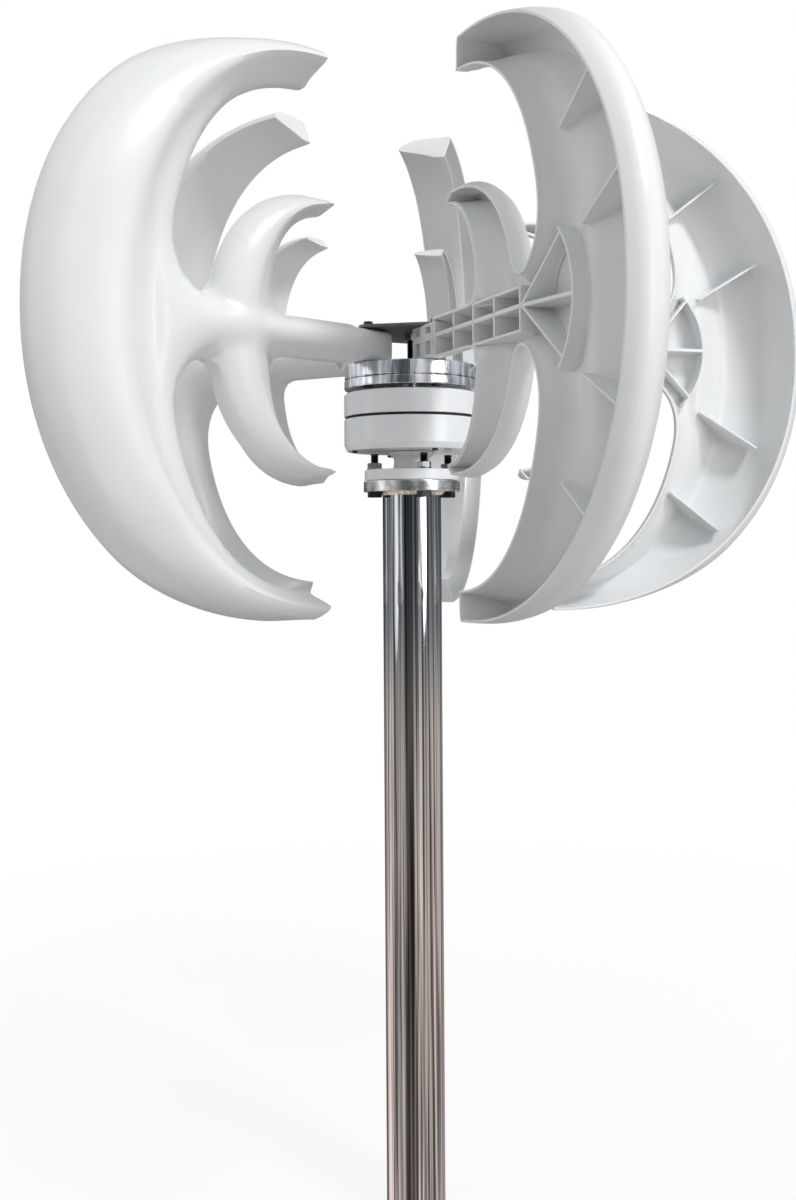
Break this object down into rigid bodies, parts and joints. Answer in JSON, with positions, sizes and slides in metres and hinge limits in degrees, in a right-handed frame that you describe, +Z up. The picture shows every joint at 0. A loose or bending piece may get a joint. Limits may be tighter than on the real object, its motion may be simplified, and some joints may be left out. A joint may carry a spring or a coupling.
{
  "type": "vertical axis wind turbine",
  "caption": "Vertical axis wind turbine: crescent blades ribbed inside, clamped round a hub that spins on a drum generator, on a flanged tube mast.",
  "frame": {"origin": "centre of the mast tube's lower end", "axes": "+Z up along the mast and the rotor's axis; blade_1 lies 24.7 degrees round from -Y towards +X"},
  "size_m": [0.7791, 0.7897, 1.1417],
  "materials": {
    "blade_plastic": "moulded white plastic, glossy outside",
    "polished_aluminium": "turned and polished",
    "clamp_steel": "flat plate, lightly brushed",
    "housing_paint": "smooth white paint",
    "seal_rubber": "black, matt",
    "mast_steel": "mirror-polished stainless steel",
    "bolt_steel": "dark plated steel",
    "core_steel": "bare laminated steel",
    "winding_copper": "enamelled copper wire",
    "bearing_steel": "ground steel"
  },
  "bodies": {
    "mast": {"mast_tube": "mast_steel", "mast_flange": "mast_steel", "foot_flange": "housing_paint", "flange_bolt_1": "bolt_steel", "flange_bolt_2": "bolt_steel", "flange_bolt_3": "bolt_steel", "flange_bolt_4": "bolt_steel", "flange_nut_1": "bolt_steel", "flange_nut_2": "bolt_steel", "flange_nut_3": "bolt_steel", "flange_nut_4": "bolt_steel", "lower_housing": "housing_paint", "upper_housing": "housing_paint", "housing_gasket": "seal_rubber", "housing_screw_1": "bolt_steel", "housing_screw_2": "bolt_steel", "housing_screw_3": "bolt_steel", "housing_screw_4": "bolt_steel", "stator_core": "core_steel", "winding_upper": "winding_copper", "winding_lower": "winding_copper", "bearing_lower": "bearing_steel", "bearing_upper": "bearing_steel"},
    "rotor": {"rotor_shaft": "bearing_steel", "magnet_rotor": "core_steel", "drive_disc": "polished_aluminium", "hub_disc": "polished_aluminium", "hub_stud": "bolt_steel", "hub_nut": "bearing_steel", "top_plate": "clamp_steel", "shaft_screw": "bolt_steel", "blade_1": "blade_plastic", "blade_2": "blade_plastic", "blade_3": "blade_plastic", "blade_4": "blade_plastic", "blade_5": "blade_plastic", "blade_bolt_1": "bolt_steel", "blade_bolt_2": "bolt_steel", "blade_bolt_3": "bolt_steel", "blade_bolt_4": "bolt_steel", "blade_bolt_5": "bolt_steel", "blade_nut_1": "bolt_steel", "blade_nut_2": "bolt_steel", "blade_nut_3": "bolt_steel", "blade_nut_4": "bolt_steel", "blade_nut_5": "bolt_steel"}
  },
  "joints": [
    {"name": "rotor_spin", "type": "hinge", "parent": "mast", "child": "rotor", "pos_m": [0, 0, 0.875], "axis": [0, 0, 1], "continuous": true}
  ]
}
